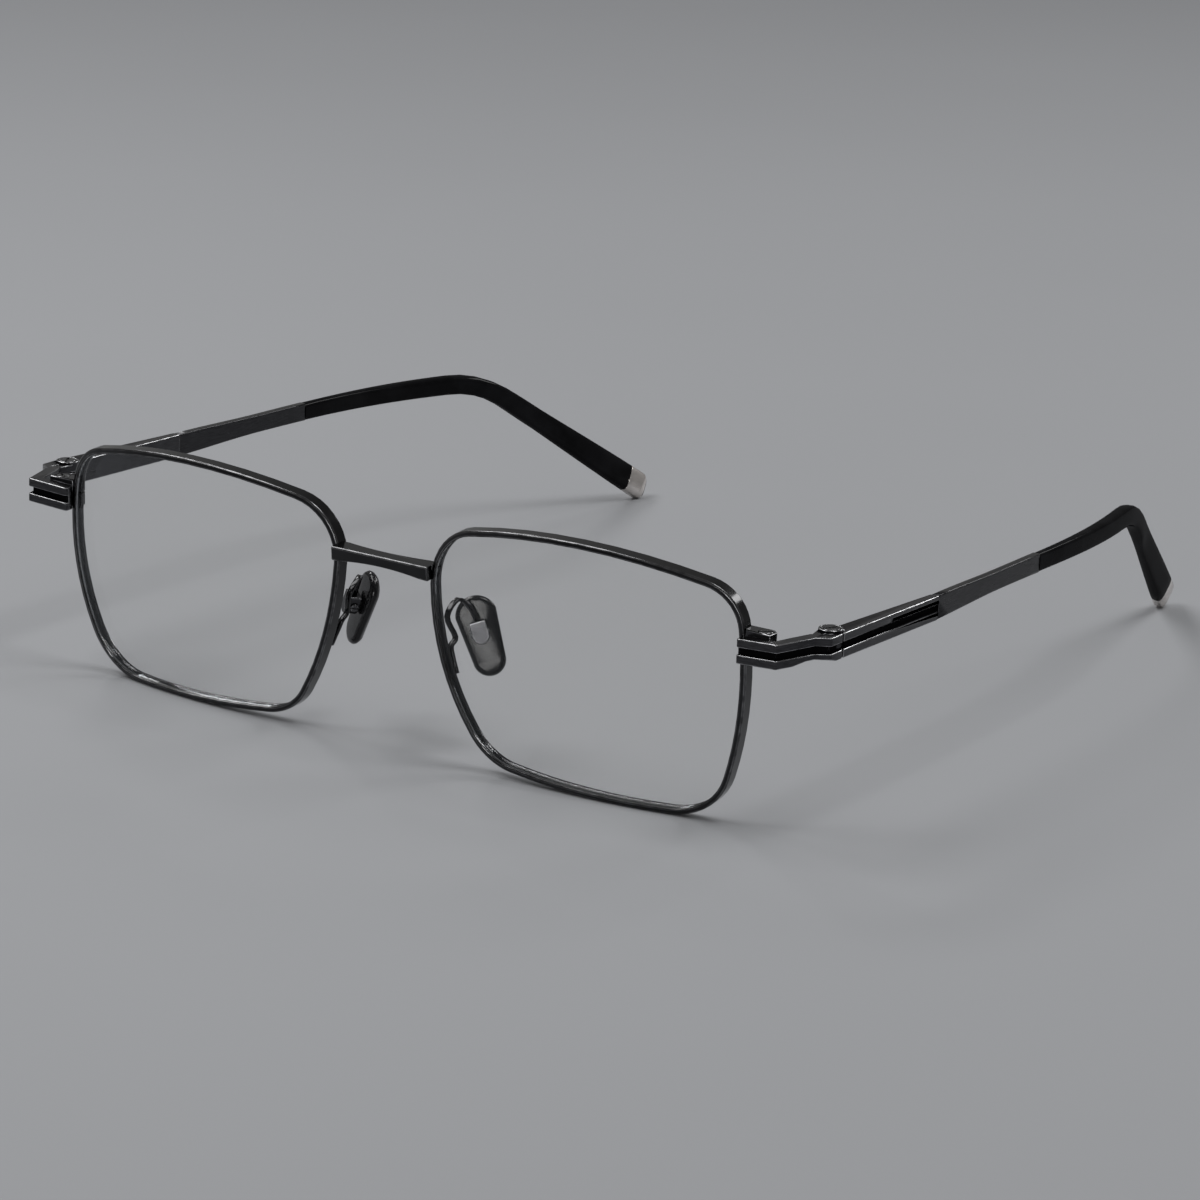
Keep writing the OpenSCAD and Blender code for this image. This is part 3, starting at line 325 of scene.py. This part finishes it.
def brushed_black_plating(looks):
    """Black plating over flats that were brushed lengthways, turned into a dull near-black surface in
    the grooves and corners that ambient occlusion finds: painted shade.
    """
    finish = Finish("brushed_black_plating")
    strokes = finish.spots(1, (700, 700, 8500), 3.0)
    patches = finish.spots(1, (140, 140, 700), 2.0)
    # painted shade: share of the dull near-black surface, from ambient occlusion
    deep = finish.hollows(1.5 * MM)
    duller, lighter = ([c * share for c in looks.plating] for share in (1.6, 3.2))
    base = finish.blend(finish.between(strokes, 0.3, 0.72), duller, lighter)
    plated = finish.surface(
        base_color=base, metallic=1.0,
        roughness=looks.plating_roughness + 0.03 + finish.between(patches, 0.3, 0.7, 0.0, 0.1),
        normal=finish.bump(strokes, 0.16, 0.005 * MM))
    shade_surface = finish.surface(base_color=looks.hollow_colour, roughness=0.9, specular=0.0)
    return finish.close(finish.node("ShaderNodeMixShader", {}, {0: deep, 1: plated, 2: shade_surface}))


def painted_edge_highlight(looks, name="painted_edge_highlight", brighter=1.0):
    """The rounded edges, in a lighter metal that paints the bright lines light draws along them: a
    painted highlight, patchy along its length, darkened by painted shade in grooves and corners.
    """
    finish = Finish(name)
    highlight_patches = finish.between(finish.spots(750), 0.34, 0.62)
    full, duller = ([c * brighter * share for c in looks.plating_edge] for share in (1.0, 0.4))
    edge = finish.blend(highlight_patches, duller, full)
    return finish.close(finish.surface(
        # painted shade: near-black in grooves and corners
        base_color=finish.blend(finish.hollows(1.0 * MM), edge, looks.hollow_colour),
        metallic=1.0,
        roughness=0.24 - highlight_patches * 0.1,
        normal=finish.bump(finish.spots(6000), 0.05, 0.003 * MM)))


def painted_block_edge_highlight(looks):
    """The machined blocks get a brighter painted highlight along their edges than the drawn wires."""
    return painted_edge_highlight(looks, "painted_block_edge_highlight", 2.6)


def brushed_bar(looks):
    """Dark titanium bar, brushed lengthways, with a painted highlight along its edges."""
    finish = Finish("brushed_dark_titanium")
    strokes = finish.spots(1, (7000, 500, 7000), 3.0)
    patches = finish.spots(1, (70, 90, 300), 2.0)
    # painted highlight: along the edges the colour goes halfway towards the edge highlight colour
    edge_highlight_share = finish.edges(0.22 * MM)
    lighter = [c * 1.6 for c in looks.bar_colour]
    base = finish.blend(finish.between(strokes, 0.32, 0.7), looks.bar_colour, lighter)
    return finish.close(finish.surface(
        base_color=finish.blend(edge_highlight_share * 0.5, base, looks.plating_edge),
        metallic=1.0,
        roughness=0.2 + finish.between(patches, 0.3, 0.7, 0.0, 0.12) + strokes * 0.05,
        normal=finish.bump(strokes, 0.16, 0.005 * MM)))


def black_acetate(looks):
    finish = Finish("black_acetate")
    cloud = finish.spots(170)
    pores = finish.spots(5200, detail=2.0)
    lighter = [c * 2.2 for c in looks.acetate_colour]
    return finish.close(finish.surface(
        base_color=finish.blend(finish.between(cloud, 0.4, 0.7), looks.acetate_colour, lighter),
        roughness=0.24 + finish.between(cloud, 0.3, 0.7, 0.0, 0.1), specular=0.0,
        coat_weight=0.13, coat_roughness=0.12,
        normal=finish.bump(pores, 0.03, 0.003 * MM)))


def bare_cap(looks):
    finish = Finish("bare_titanium")
    turning = finish.spots(1, (2600, 16000, 9000), 3.0)
    cloud = finish.spots(420)
    darker = [c * 0.8 for c in looks.cap_colour]
    return finish.close(finish.surface(
        base_color=finish.blend(finish.between(cloud, 0.4, 0.65), looks.cap_colour, darker),
        metallic=1.0,
        roughness=0.17 + turning * 0.16,
        normal=finish.bump(turning, 0.18, 0.004 * MM)))


def smoky_silicone(looks):
    finish = Finish("smoky_silicone")
    cloud = finish.spots(380)
    deeper = [c * 0.6 for c in looks.pad_colour]
    lowest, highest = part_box("left_nose_pad")
    height = finish.node("ShaderNodeSeparateXYZ", {}, {0: finish.place}, "Z")
    thin = finish.between(height, highest.z - 0.4 * (highest.z - lowest.z), highest.z)
    return finish.close(finish.surface(
        base_color=finish.blend(finish.between(cloud, 0.35, 0.7), looks.pad_colour, deeper),
        roughness=0.1 + finish.between(cloud, 0.3, 0.7, 0.0, 0.09),
        alpha=0.985 - thin * 0.1,
        coat_weight=0.15, coat_roughness=0.04, specular=0.25,
        normal=finish.bump(finish.spots(2400), 0.05, 0.01 * MM)))


def moulded_core():
    finish = Finish("moulded_core")
    cloud = finish.spots(500)
    return finish.close(finish.surface(
        base_color=finish.blend(cloud, (0.006, 0.006, 0.007), (0.02, 0.02, 0.022)),
        roughness=0.2 + cloud * 0.16,
        normal=finish.bump(finish.spots(7000), 0.1, 0.005 * MM)))


def screw_steel():
    finish = Finish("screw_steel")
    rings = finish.spots(1, (5200, 5200, 900), 3.0)
    return finish.close(finish.surface(
        base_color=finish.blend(
            finish.between(rings, 0.35, 0.65), (0.07, 0.07, 0.074), (0.13, 0.13, 0.135)),
        metallic=1.0,
        roughness=0.2 + rings * 0.16,
        normal=finish.bump(rings, 0.2, 0.004 * MM)))


def washer_plastic():
    finish = Finish("bearing_washer")
    grain = finish.spots(6000)
    return finish.close(finish.surface(
        base_color=finish.blend(grain, (0.02, 0.02, 0.021), (0.05, 0.05, 0.052)),
        roughness=0.4 + grain * 0.2,
        normal=finish.bump(grain, 0.1, 0.005 * MM)))


def clear_lens(looks):
    """Light passes straight through, and the coated faces mirror a little, more at a slant."""
    finish = Finish("coated_lens")
    smudge = finish.spots(55, detail=4.0)
    mirror = finish.surface(
        base_color=(0.9, 0.95, 1.0), metallic=1.0,
        roughness=0.01 + finish.between(smudge, 0.45, 0.75, 0.0, 0.04))
    through = finish.node("ShaderNodeBsdfTransparent", {}, {"Color": opaque(looks.lens_tint)})
    slant = finish.node("ShaderNodeLayerWeight", {}, {"Blend": 0.5}, "Facing")
    return finish.close(finish.node("ShaderNodeMixShader", {}, {
        0: 0.008 + (slant ** 4.0) * 0.4, 1: through, 2: mirror}))


def floor_paint(studio):
    finish = Finish("pale_floor")
    cloud = finish.spots(3.5, detail=3.0)
    lighter = [min(1.0, c * 1.03) for c in studio.floor_colour]
    return finish.close(finish.surface(
        base_color=finish.blend(finish.between(cloud, 0.35, 0.65), studio.floor_colour, lighter),
        roughness=0.62 + cloud * 0.1,
        normal=finish.bump(finish.spots(900), 0.03, 0.05 * MM)))


def body_of(node):
    return frame["nodes"][node]["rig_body"]


def rise(value, low, high):
    """0 below low, 1 above high, and a smooth step between."""
    share = min(1.0, max(0.0, (value - low) / (high - low)))
    return share * share * (3 - 2 * share)


def cap_fullness(before):
    """How much wider the cap's end is than the plain solid's, which is rounded off further."""
    if before >= CAP_ROUND:
        return 1.0
    rounded = math.sqrt(max(0.0, 1 - (1 - max(before, 0.0) / CAP_ROUND) ** 2))
    plain = CAP_PLAIN_END + (1 - CAP_PLAIN_END) * rounded
    return max(1.0, min(1.0, CAP_END + CAP_END_WIDENS * before) / plain)


def turn_tip(form, side):
    """Thins the drop of a tip and turns it about its own length, so that its outer face looks down a
    little. The cap grows towards the bend."""
    edges = bpy.context.scene.eyeglass_edges
    hand = Vector((1 if side == "left" else -1, 1, 1))
    across = Vector((math.cos(TIP_YAW), math.sin(TIP_YAW), 0)) * hand
    over = Vector((-math.sin(TIP_YAW) * math.sin(TIP_PITCH), math.cos(TIP_YAW) * math.sin(TIP_PITCH),
                   math.cos(TIP_PITCH))) * hand
    ahead = Vector((-math.sin(TIP_YAW) * math.cos(TIP_PITCH), math.cos(TIP_YAW) * math.cos(TIP_PITCH),
                    -math.sin(TIP_PITCH))) * hand
    foot = TIP_FOOT * hand
    for vert in form.verts:
        out = vert.co - foot
        before = -out.dot(ahead)
        share = rise(-before, -TIP_TURN_FROM, -TIP_TURN_TO)
        turn = edges.tip_turn * share
        full = cap_fullness(before)
        wide = out.dot(across) * (1 - share * (1 - edges.tip_thinning)) * full
        high = out.dot(over) * full
        longer = (edges.cap_growth * rise(before, CAP_ROUND, CAP_GROWN_AT)
                  * rise(-before, -GROWTH_FADES_FROM, -GROWTH_FADES_TO))
        vert.co = (foot - ahead * (before + longer)
                   + across * (wide * math.cos(turn) + high * math.sin(turn))
                   + over * (high * math.cos(turn) - wide * math.sin(turn)))


def soften(node, edge, steepness, shortest, curved, shape):
    """A merged copy of a node with its sharp outer edges rounded. A curved skin keeps all its faces.
    The roundings take the piece's second material."""
    edges = bpy.context.scene.eyeglass_edges
    form = bmesh.new()
    form.from_mesh(frame["nodes"][node].data)
    bmesh.ops.remove_doubles(form, verts=form.verts, dist=MERGE_DISTANCE)
    if shape:
        shape(form, node.split("_")[0])
    if not curved:
        bmesh.ops.dissolve_limit(form, angle_limit=FLAT_ANGLE, verts=form.verts, edges=form.edges)
    form.normal_update()
    weights = form.edges.layers.float.new("bevel_weight_edge")
    for line in form.edges:
        steep = line.is_manifold and line.is_convex and line.calc_face_angle() > steepness
        if steep and line.calc_length() > shortest:
            line[weights] = 1.0
    mesh = bpy.data.meshes.new(node + "_form")
    form.to_mesh(mesh)
    form.free()
    mesh.shade_smooth()
    mesh.set_sharp_from_angle(angle=edges.smooth_angle)
    piece = bpy.data.objects.new(node + "_form", mesh)
    bpy.context.scene.collection.objects.link(piece)
    if curved:
        even = piece.modifiers.new("Even shading", "WEIGHTED_NORMAL")
        even.keep_sharp = True
    if edge > 0:
        rounding = piece.modifiers.new("Rounding", "BEVEL")
        rounding.width = edge
        rounding.segments = ROUNDING_SEGMENTS
        rounding.limit_method = "WEIGHT"
        rounding.harden_normals = True
        rounding.use_clamp_overlap = False
        rounding.miter_outer = "MITER_ARC"
        rounding.material = 1
    return piece


def dress(nodes, material, edge=0.0, rim=None, steepness=ROUNDED_FROM, shortest=0.0,
          curved=False, shape=None):
    """Puts a finished piece in the place of each node, with rim as the material of its rounded edges."""
    for node in nodes:
        piece = soften(node, edge, steepness, shortest, curved, shape)
        piece.data.materials.clear()
        for layer in (material, rim or material):
            piece.data.materials.append(layer)
        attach(piece, body_of(node))
        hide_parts(node)


def paired(*names):
    return [f"{side}_{name}" for name in names for side in SIDES]


def shared(make, looks):
    """The material that bears the name of its own function, made once."""
    return bpy.data.materials.get(make.__name__) or make(looks)


class MakeRims(bpy.types.Operator):
    """Rim wires and bridge in black plating"""

    bl_idname = "eyeglasses.make_rims"
    bl_label = "Rims and Bridge"

    def execute(self, context):
        looks = context.scene.eyeglass_finish
        edge = context.scene.eyeglass_edges.wire_edge
        dress(["bridge"] + paired("eyewire"),
              shared(black_plating, looks), edge, shared(painted_edge_highlight, looks))
        return {"FINISHED"}


class MakeLenses(bpy.types.Operator):
    """Clear coated lenses"""

    bl_idname = "eyeglasses.make_lenses"
    bl_label = "Lenses"

    def execute(self, context):
        glass = clear_lens(context.scene.eyeglass_finish)
        dress(paired("lens"), glass, curved=True)
        return {"FINISHED"}


class MakeEndPieces(bpy.types.Operator):
    """Grooved end pieces and the closing blocks of the rims"""

    bl_idname = "eyeglasses.make_end_pieces"
    bl_label = "End Pieces and Closing Blocks"

    def execute(self, context):
        looks = context.scene.eyeglass_finish
        metal = shared(brushed_black_plating, looks)
        rim = shared(painted_block_edge_highlight, looks)
        edge = context.scene.eyeglass_edges.block_edge
        dress(paired("end_piece"), metal, edge, rim)
        # the short edges round the wire's curved seat stay sharp, since a rounding would reach past them
        dress(paired("closing_block_upper", "closing_block_lower"), metal, edge, rim,
              shortest=6 * edge)
        return {"FINISHED"}


class MakeScrews(bpy.types.Operator):
    """Slotted screws of the rims, hinges and pads, with the hinge washers"""

    bl_idname = "eyeglasses.make_screws"
    bl_label = "Screws and Washers"

    def execute(self, context):
        edge = context.scene.eyeglass_edges.screw_edge
        rim = shared(painted_block_edge_highlight, context.scene.eyeglass_finish)
        dress(paired("lock_screw", "hinge_screw", "pad_screw"), screw_steel(), edge, rim)
        dress(paired("hinge_washers"), washer_plastic(), edge)
        return {"FINISHED"}


class MakePadArms(bpy.types.Operator):
    """Bent pad arms with their boxes"""

    bl_idname = "eyeglasses.make_pad_arms"
    bl_label = "Pad Arms and Boxes"

    def execute(self, context):
        looks = context.scene.eyeglass_finish
        edge = context.scene.eyeglass_edges.screw_edge * 2
        dress(paired("pad_arm"), shared(black_plating, looks), curved=True)
        dress(paired("pad_box"),
              shared(brushed_black_plating, looks), edge, shared(painted_block_edge_highlight, looks))
        return {"FINISHED"}


class MakeNosePads(bpy.types.Operator):
    """Silicone nose pads on their moulded cores"""

    bl_idname = "eyeglasses.make_nose_pads"
    bl_label = "Nose Pads"

    def execute(self, context):
        scene = context.scene
        dress(paired("nose_pad"), smoky_silicone(scene.eyeglass_finish), curved=True)
        dress(paired("nose_pad_core"), moulded_core(), scene.eyeglass_edges.screw_edge)
        return {"FINISHED"}


class MakeTemples(bpy.types.Operator):
    """Hinge arms and brushed temple bars"""

    bl_idname = "eyeglasses.make_temples"
    bl_label = "Hinge Arms and Temple Bars"

    def execute(self, context):
        looks = context.scene.eyeglass_finish
        edge = context.scene.eyeglass_edges.block_edge
        dress(paired("temple_hinge_arm"),
              shared(brushed_black_plating, looks), edge, shared(painted_block_edge_highlight, looks))
        dress(paired("temple_bar"), brushed_bar(looks), curved=True)
        return {"FINISHED"}


class MakeTips(bpy.types.Operator):
    """Acetate temple tips with their metal caps"""

    bl_idname = "eyeglasses.make_tips"
    bl_label = "Temple Tips and Caps"

    def execute(self, context):
        looks = context.scene.eyeglass_finish
        edge = context.scene.eyeglass_edges.cap_edge
        dress(paired("temple_tip"), black_acetate(looks), curved=True, shape=turn_tip)
        dress(paired("tip_cap"), bare_cap(looks), edge,
              steepness=CAP_ROUNDED_FROM, shape=turn_tip)
        return {"FINISHED"}


def make_floor(studio):
    form = bmesh.new()
    bmesh.ops.create_grid(form, x_segments=1, y_segments=1, size=studio.floor_size / 2)
    bmesh.ops.translate(form, verts=form.verts, vec=(0, 0, CAD_BOX[0].z))
    mesh = bpy.data.meshes.new("floor")
    form.to_mesh(mesh)
    form.free()
    floor = bpy.data.objects.new("floor", mesh)
    bpy.context.scene.collection.objects.link(floor)
    mesh.materials.append(floor_paint(studio))


def make_lamp(name, place, width, height, radiance):
    """An area lamp whose face has the given radiance."""
    lamp = bpy.data.lights.new(name, "AREA")
    lamp.shape = "RECTANGLE"
    lamp.size = width
    lamp.size_y = height
    lamp.energy = radiance * math.pi * width * height
    made = bpy.data.objects.new(name, lamp)
    made.rotation_mode = "QUATERNION"
    made.location = place
    made.rotation_quaternion = (Vector(LAMP_TARGET) - Vector(place)).to_track_quat("-Z", "Y")
    made.visible_camera = False
    bpy.context.scene.collection.objects.link(made)


def make_sky(studio):
    world = bpy.data.worlds.new("studio_sky")
    world.use_nodes = True
    tree = world.node_tree
    tree.nodes.clear()
    rays = tree.nodes.new("ShaderNodeLightPath")
    plain = tree.nodes.new("ShaderNodeBackground")
    plain.inputs["Color"].default_value = (1.0, 1.0, 1.0, 1.0)
    plain.inputs["Strength"].default_value = studio.sky_level
    seen = tree.nodes.new("ShaderNodeBackground")
    seen.inputs["Color"].default_value = (*studio.floor_colour, 1.0)
    seen.inputs["Strength"].default_value = 1.0
    mixed = tree.nodes.new("ShaderNodeMixShader")
    output = tree.nodes.new("ShaderNodeOutputWorld")
    tree.links.new(rays.outputs["Is Camera Ray"], mixed.inputs[0])
    tree.links.new(plain.outputs[0], mixed.inputs[1])
    tree.links.new(seen.outputs[0], mixed.inputs[2])
    tree.links.new(mixed.outputs[0], output.inputs["Surface"])
    bpy.context.scene.world = world


def make_camera(studio):
    """The photograph's viewpoint."""
    ahead = Vector((math.sin(CAMERA_YAW) * math.cos(CAMERA_PITCH),
                    math.cos(CAMERA_YAW) * math.cos(CAMERA_PITCH), -math.sin(CAMERA_PITCH)))
    level = Vector((math.cos(CAMERA_YAW), -math.sin(CAMERA_YAW), 0.0))
    over = level.cross(ahead)
    right = math.cos(CAMERA_ROLL) * level + math.sin(CAMERA_ROLL) * over
    up = -math.sin(CAMERA_ROLL) * level + math.cos(CAMERA_ROLL) * over
    turned = Matrix((right, up, -ahead)).transposed()
    lens = bpy.data.cameras.new("studio_camera")
    lens.sensor_width = SENSOR_WIDTH
    lens.lens = studio.lens_length
    lens.clip_start = 0.01
    lens.clip_end = 50.0
    camera = bpy.data.objects.new("studio_camera", lens)
    camera.rotation_mode = "QUATERNION"
    camera.location = CAMERA_PLACE
    camera.rotation_quaternion = turned.to_quaternion()
    bpy.context.scene.collection.objects.link(camera)
    bpy.context.scene.camera = camera


class MakeStage(bpy.types.Operator):
    """Pale floor, soft lamps and camera"""

    bl_idname = "eyeglasses.make_stage"
    bl_label = "Stage"

    def execute(self, context):
        studio = context.scene.eyeglass_studio
        make_floor(studio)
        make_sky(studio)
        for name, place, width, height, radiance in LAMPS:
            make_lamp(name, place, width, height, radiance * studio.lamp_level)
        make_camera(studio)
        context.scene.view_settings.view_transform = "Standard"
        return {"FINISHED"}


class EyeglassPanel(bpy.types.Panel):
    """Sizes, finishes and steps"""

    bl_idname = "VIEW3D_PT_eyeglasses"
    bl_label = "Eyeglasses"
    bl_space_type = "VIEW_3D"
    bl_region_type = "UI"
    bl_category = "Eyeglasses"

    def draw(self, context):
        for settings in (context.scene.eyeglass_edges, context.scene.eyeglass_finish,
                         context.scene.eyeglass_studio):
            box = self.layout.box()
            for name in settings.__annotations__:
                box.prop(settings, name)
        for step in STEPS:
            self.layout.operator(step.bl_idname)


SETTINGS = {
    "eyeglass_edges": EdgeSettings,
    "eyeglass_finish": FinishSettings,
    "eyeglass_studio": StudioSettings,
}
STEPS = (MakeRims, MakeLenses, MakeEndPieces, MakeScrews, MakePadArms, MakeNosePads,
         MakeTemples, MakeTips, MakeStage)


def register():
    for name, settings in SETTINGS.items():
        bpy.utils.register_class(settings)
        setattr(bpy.types.Scene, name, bpy.props.PointerProperty(type=settings))
    for shown in (*STEPS, EyeglassPanel):
        bpy.utils.register_class(shown)


def unregister():
    for shown in (EyeglassPanel, *reversed(STEPS)):
        bpy.utils.unregister_class(shown)
    for name, settings in reversed(SETTINGS.items()):
        delattr(bpy.types.Scene, name)
        bpy.utils.unregister_class(settings)


def main():
    register()
    for step in STEPS:
        group, name = step.bl_idname.split(".")
        getattr(getattr(bpy.ops, group), name)()


if __name__ == "__main__":
    main()
